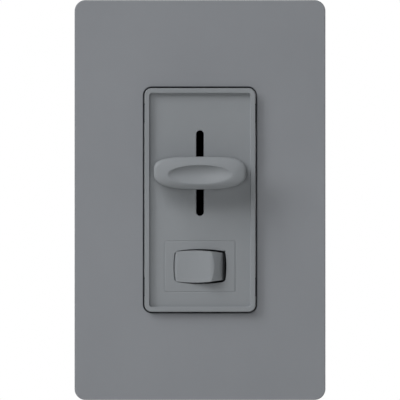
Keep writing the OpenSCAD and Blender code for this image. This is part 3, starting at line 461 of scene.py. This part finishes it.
sunk = addNode(knobTree, "ShaderNodeMath", {0: leaned, 1: given["Dish depth"]},
               operation="MULTIPLY").outputs[0]
belowTop = addNode(knobTree, "ShaderNodeMath", {0: fall, 1: edgeFall}, operation="ADD").outputs[0]
lowered = addNode(knobTree, "ShaderNodeMath", {0: belowTop, 1: sunk}, operation="ADD").outputs[0]
upper = addNode(knobTree, "ShaderNodeMath", {0: given["Top"], 1: lowered},
                operation="SUBTRACT").outputs[0]
height = addNode(knobTree, "ShaderNodeMix", {0: wall, 2: given["Foot"], 3: upper}).outputs[0]
moved = addNode(knobTree, "ShaderNodeCombineXYZ", {"X": across[0], "Y": across[1], "Z": height}).outputs[0]
shaped = addNode(knobTree, "GeometryNodeSetPosition", {"Geometry": grid.outputs["Mesh"], "Position": moved})
sealed = addNode(knobTree, "GeometryNodeMergeByDistance", {"Geometry": shaped.outputs["Geometry"],
                                                           "Distance": knob["joinMm"] * mm})

# the stem goes through the slot to the carrier
stemSpan = addNode(knobTree, "ShaderNodeMath", {0: given["Foot"], 1: given["Stem bottom"]},
                   operation="SUBTRACT").outputs[0]
stemLength = addNode(knobTree, "ShaderNodeMath", {0: stemSpan, 1: knob["stemOverlap"] * mm},
                     operation="ADD").outputs[0]
stemMiddle = addNode(knobTree, "ShaderNodeMath", {0: stemLength, 1: 0.5, 2: given["Stem bottom"]},
                     operation="MULTIPLY_ADD").outputs[0]
stemSize = addNode(knobTree, "ShaderNodeCombineXYZ", {"X": given["Stem width"], "Y": given["Stem height"],
                                                      "Z": stemLength}).outputs[0]
stemBlock = addNode(knobTree, "GeometryNodeMeshCube", {"Size": stemSize})
stemPlace = addNode(knobTree, "ShaderNodeCombineXYZ", {"Z": stemMiddle}).outputs[0]
stem = addNode(knobTree, "GeometryNodeTransform", {"Geometry": stemBlock.outputs["Mesh"],
                                                   "Translation": stemPlace})
joined = addNode(knobTree, "GeometryNodeJoinGeometry")
for part in (sealed, stem):
    knobTree.links.new(part.outputs["Geometry"], joined.inputs["Geometry"])
closeTree(knobTree, given, joined.outputs["Geometry"])
knobPlace = Matrix.Translation((0, 0, knobMiddle * mm)) @ onWall
knobMesh = grow(knobTree, knobSizes, bezelSatin, knobPlace)
standFor("slider_knob", knobMesh, "_moulding", knob["smoothDegrees"])

print("threads, spring and winding")
helixSizes = {"Radius": 1.4 * mm, "Pitch": 0.8 * mm, "Turns": 6.0, "Wire radius": 0.35 * mm,
              "Wire sides": 4, "Points per turn": 32}
helixTree, given = newTree("helix", helixSizes)
helixLength = addNode(helixTree, "ShaderNodeMath", {0: given["Pitch"], 1: given["Turns"]},
                      operation="MULTIPLY")
helix = addNode(helixTree, "GeometryNodeCurveSpiral", {
    "Resolution": given["Points per turn"], "Rotations": given["Turns"], "Start Radius": given["Radius"],
    "End Radius": given["Radius"], "Height": helixLength.outputs[0]})
upright = addNode(helixTree, "GeometryNodeSetCurveNormal", {"Curve": helix.outputs["Curve"]}, mode="Z_UP")
section = addNode(helixTree, "GeometryNodeCurvePrimitiveCircle", {"Resolution": given["Wire sides"],
                                                                  "Radius": given["Wire radius"]})
swept = addNode(helixTree, "GeometryNodeCurveToMesh", {"Curve": upright.outputs["Curve"],
                                                       "Profile Curve": section.outputs["Curve"],
                                                       "Fill Caps": True})
closeTree(helixTree, given, swept.outputs["Mesh"])

# screw threads of 32 turns to the inch: major radius, where the thread starts on its axis, its length
threadPitch = 25.4 / 32
threadForm = {"ridge": 0.42 * threadPitch, "sink": 0.02, "runOut": 0.9, "skin": 0.01, "smoothDegrees": 32}
alongX = Matrix.Rotation(math.pi / 2, 4, "Y")
threads = {
    "box_screws": {"radius": 1.75, "start": -16.4, "length": 15.8,
                   "axes": [Matrix.Translation((0, side * 41.67 * mm, 0)) for side in (-1, 1)]},
    "adapter_screws": {"radius": 1.75, "start": -2.5, "length": 5.9,
                       "axes": [Matrix.Translation((0, side * 48.42 * mm, 0)) for side in (-1, 1)]},
    "ground_screw": {"radius": 2.05, "start": 0.7, "length": 4.2,
                     "axes": [Matrix.Translation((-15 * mm, -41.5 * mm, -6 * mm)) @ alongX]},
    "terminal_screws": {"radius": 2.05, "start": 15.6, "length": 4.2,
                        "axes": [Matrix.Translation((0, height * mm, -21 * mm))
                                 @ Matrix.Rotation(side * math.pi / 2, 4, "Y")
                                 for side, height in ((1, 13), (1, -13), (-1, 0))]},
}
for nodeName, screw in threads.items():
    core = screw["radius"] - threadForm["ridge"]
    threadFrom = screw["start"] - threadForm["runOut"]
    threadTo = screw["start"] + screw["length"] + threadForm["runOut"]
    shape = mergedCopy(nodeName)
    for axis in screw["axes"]:
        toAxis = (onWall @ axis).inverted()
        for vertex in shape.verts:
            local = toAxis @ vertex.co
            across = math.hypot(local.x, local.y)
            if core * mm < across < (screw["radius"] + threadForm["skin"]) * mm and \
                    threadFrom * mm < local.z < threadTo * mm:
                shrink = core * mm / across
                vertex.co = onWall @ axis @ Vector((local.x * shrink, local.y * shrink, local.z))
        turns = screw["length"] / threadPitch
        sizes = dict(helixSizes, **{"Radius": (core + threadForm["sink"]) * mm, "Turns": turns,
                                    "Pitch": threadPitch * mm,
                                    "Wire radius": (threadForm["ridge"] - threadForm["sink"]) * mm})
        place = onWall @ axis @ Matrix.Translation((0, 0, screw["start"] * mm))
        shape.from_mesh(grow(helixTree, sizes, finishOf[nodeName], place))
    mesh = bpy.data.meshes.new(nodeName + "_turned")
    shape.to_mesh(mesh)
    shape.free()
    standFor(nodeName, mesh, "_threaded", threadForm["smoothDegrees"])

# the spring in the rocker's plunger leans with the rocker
rockerPivot = {"height": -19.8, "depth": 1.55, "tilt": 13.3}
spring = {"radius": 0.95, "wire": 0.2, "turns": 7.0, "from": -0.78, "to": 4.18, "sides": 12}
woundSmoothDegrees = 60
onRocker = onWall @ Matrix.Translation((0, rockerPivot["height"] * mm, rockerPivot["depth"] * mm)) @ \
    Matrix.Rotation(-math.radians(rockerPivot["tilt"]), 4, "Y")
springRise = spring["to"] - spring["from"] - 2 * spring["wire"]
springSizes = dict(helixSizes, **{"Radius": spring["radius"] * mm, "Turns": spring["turns"],
                                  "Pitch": springRise / spring["turns"] * mm,
                                  "Wire radius": spring["wire"] * mm, "Wire sides": spring["sides"]})
springPlace = onRocker @ Matrix.Translation((0, 0, (spring["from"] + spring["wire"]) * mm))
springWire = grow(helixTree, springSizes, zincSteel, springPlace)
standFor("plunger_spring", springWire, "_wound", woundSmoothDegrees)

# the choke's winding: round wire in rounded loops, spread evenly round the ring
winding = {"Turns": 26, "Core radius": 10 * mm, "Bore radius": 5 * mm, "Core height": 8 * mm,
           "Gap": 0.1 * mm, "Wire radius": 0.4 * mm, "Wire sides": 8, "Corner radius": 0.9 * mm,
           "Corner points": 5}
windingTree, given = newTree("toroidWinding", winding)
around = addNode(windingTree, "ShaderNodeMath", {0: given["Gap"], 1: given["Wire radius"]},
                 operation="ADD").outputs[0]
wide = addNode(windingTree, "ShaderNodeMath", {0: given["Core radius"], 1: given["Bore radius"]},
               operation="SUBTRACT").outputs[0]
loopWidth = addNode(windingTree, "ShaderNodeMath", {0: around, 1: 2.0, 2: wide},
                    operation="MULTIPLY_ADD").outputs[0]
loopHeight = addNode(windingTree, "ShaderNodeMath", {0: around, 1: 2.0, 2: given["Core height"]},
                     operation="MULTIPLY_ADD").outputs[0]
loop = addNode(windingTree, "GeometryNodeCurvePrimitiveQuadrilateral", {"Width": loopWidth,
                                                                        "Height": loopHeight})
rounded = addNode(windingTree, "GeometryNodeFilletCurve", {"Curve": loop.outputs["Curve"],
                                                           "Count": given["Corner points"],
                                                           "Radius": given["Corner radius"]}, mode="POLY")
bothRadii = addNode(windingTree, "ShaderNodeMath", {0: given["Core radius"], 1: given["Bore radius"]},
                    operation="ADD").outputs[0]
meanRadius = addNode(windingTree, "ShaderNodeMath", {0: bothRadii, 1: 0.5},
                     operation="MULTIPLY").outputs[0]
stood = addNode(windingTree, "GeometryNodeTransform", {
    "Geometry": rounded.outputs["Curve"], "Rotation": (math.pi / 2, 0, 0),
    "Translation": addNode(windingTree, "ShaderNodeCombineXYZ", {"X": meanRadius}).outputs[0]})
wireSection = addNode(windingTree, "GeometryNodeCurvePrimitiveCircle", {"Resolution": given["Wire sides"],
                                                                        "Radius": given["Wire radius"]})
wire = addNode(windingTree, "GeometryNodeCurveToMesh", {"Curve": stood.outputs["Geometry"],
                                                        "Profile Curve": wireSection.outputs["Curve"]})
spots = addNode(windingTree, "GeometryNodePoints", {"Count": given["Turns"]})
order = addNode(windingTree, "GeometryNodeInputIndex").outputs[0]
stepAngle = addNode(windingTree, "ShaderNodeMath", {0: 2 * math.pi, 1: given["Turns"]},
                    operation="DIVIDE").outputs[0]
loopAngle = addNode(windingTree, "ShaderNodeMath", {0: order, 1: stepAngle},
                    operation="MULTIPLY").outputs[0]
loops = addNode(windingTree, "GeometryNodeInstanceOnPoints", {
    "Points": spots.outputs[0], "Instance": wire.outputs["Mesh"],
    "Rotation": addNode(windingTree, "ShaderNodeCombineXYZ", {"Z": loopAngle}).outputs[0]})
closeTree(windingTree, given, loops.outputs["Instances"])
coreLow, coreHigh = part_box("choke_core")
coreMiddle = (coreLow + coreHigh) / 2
woundWire = grow(windingTree, winding, enamelWire, Matrix.Translation(coreMiddle) @ onWall)
standFor("choke_winding", woundWire, "_wound", woundSmoothDegrees)

print("camera and floor")
camera = {"distance": 1.6, "sensor": 36.0, "reach": 20}
plateLow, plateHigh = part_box("faceplate")
cameraData = bpy.data.cameras.new("camera")
cameraData.sensor_width = camera["sensor"]
cameraData.lens = camera["sensor"] * camera["distance"] / (plateHigh.z - plateLow.z)
cameraData.clip_end = camera["reach"]
cameraObject = bpy.data.objects.new("camera", cameraData)
cameraObject.location = (0, plateLow.y - camera["distance"], 0)
cameraObject.rotation_euler = (math.pi / 2, 0, 0)
scene.collection.objects.link(cameraObject)
scene.camera = cameraObject

floorSize = {"half": 0.42, "below": 0.025}
floorZ = cadBox[0][2] - floorSize["below"]
floorMesh = bpy.data.meshes.new("floor")
floorMesh.from_pydata([(x * floorSize["half"], y * floorSize["half"], floorZ)
                       for x, y in ((-1, -1), (1, -1), (1, 1), (-1, 1))], [], [(0, 1, 2, 3)])
floor = bpy.data.objects.new("floor", floorMesh)
scene.collection.objects.link(floor)
floorMaterial, floorShader = newMaterial("floor_white_paper")[::2]
floorShader.inputs["Base Color"].default_value = srgbToLinear("#e0e0de")
floorShader.inputs["Roughness"].default_value = 0.9
floorMesh.materials.append(floorMaterial)

print("lights")
# softboxes round the upper left of the lens, so that edges throw wide, soft shadows to the lower right,
# and three low ones behind for the back; power is in watts at 0.9 m, and gain suits it to the distance
softboxes = {
    "fill": {"towards": (0, -1, 0), "power": 1.12},
    "above": {"towards": (-0.35, -1, 0.85), "power": 1.75},
    "upperLeft": {"towards": (-1.5, -1, 1.3), "power": 2.05},
    "highLeft": {"towards": (-1.5, -1, 2.4), "power": 1.7},
    "left": {"towards": (-2.2, -1, 1.0), "power": 1.4},
    "right": {"towards": (2, -1, 0.5), "power": 0.3},
    "backLeft": {"towards": (1.4, 1, 0.25), "power": 1.5},
    "backRight": {"towards": (-1.4, 1, 0.2), "power": 1.1},
    "back": {"towards": (0.1, 1, 0.12), "power": 0.9},
}
softbox = {"distance": 1.3, "size": 0.49, "gain": 2.09}
for name, light in softboxes.items():
    lampData = bpy.data.lights.new(name, "AREA")
    lampData.shape = "DISK"
    lampData.size = softbox["size"]
    lampData.energy = light["power"] * softbox["gain"]
    lamp = bpy.data.objects.new(name, lampData)
    lamp.location = Vector(light["towards"]).normalized() * softbox["distance"]
    lamp.rotation_euler = (-lamp.location).to_track_quat("-Z", "Y").to_euler()
    scene.collection.objects.link(lamp)

# the room: a faint glow on the object, plain white behind it
ambientStrength = 0.01
world = bpy.data.worlds.new("studio")
world.use_nodes = True
scene.world = world
worldTree = world.node_tree
worldTree.nodes.clear()
path = addNode(worldTree, "ShaderNodeLightPath")
ambient = addNode(worldTree, "ShaderNodeBackground", {"Color": (1, 1, 1, 1), "Strength": ambientStrength})
white = addNode(worldTree, "ShaderNodeBackground", {"Color": (1, 1, 1, 1), "Strength": 1.0})
mixed = addNode(worldTree, "ShaderNodeMixShader", {0: path.outputs["Is Camera Ray"],
                                                   1: ambient.outputs["Background"],
                                                   2: white.outputs["Background"]})
addNode(worldTree, "ShaderNodeOutputWorld", {"Surface": mixed.outputs["Shader"]})
scene.view_settings.view_transform = "Standard"
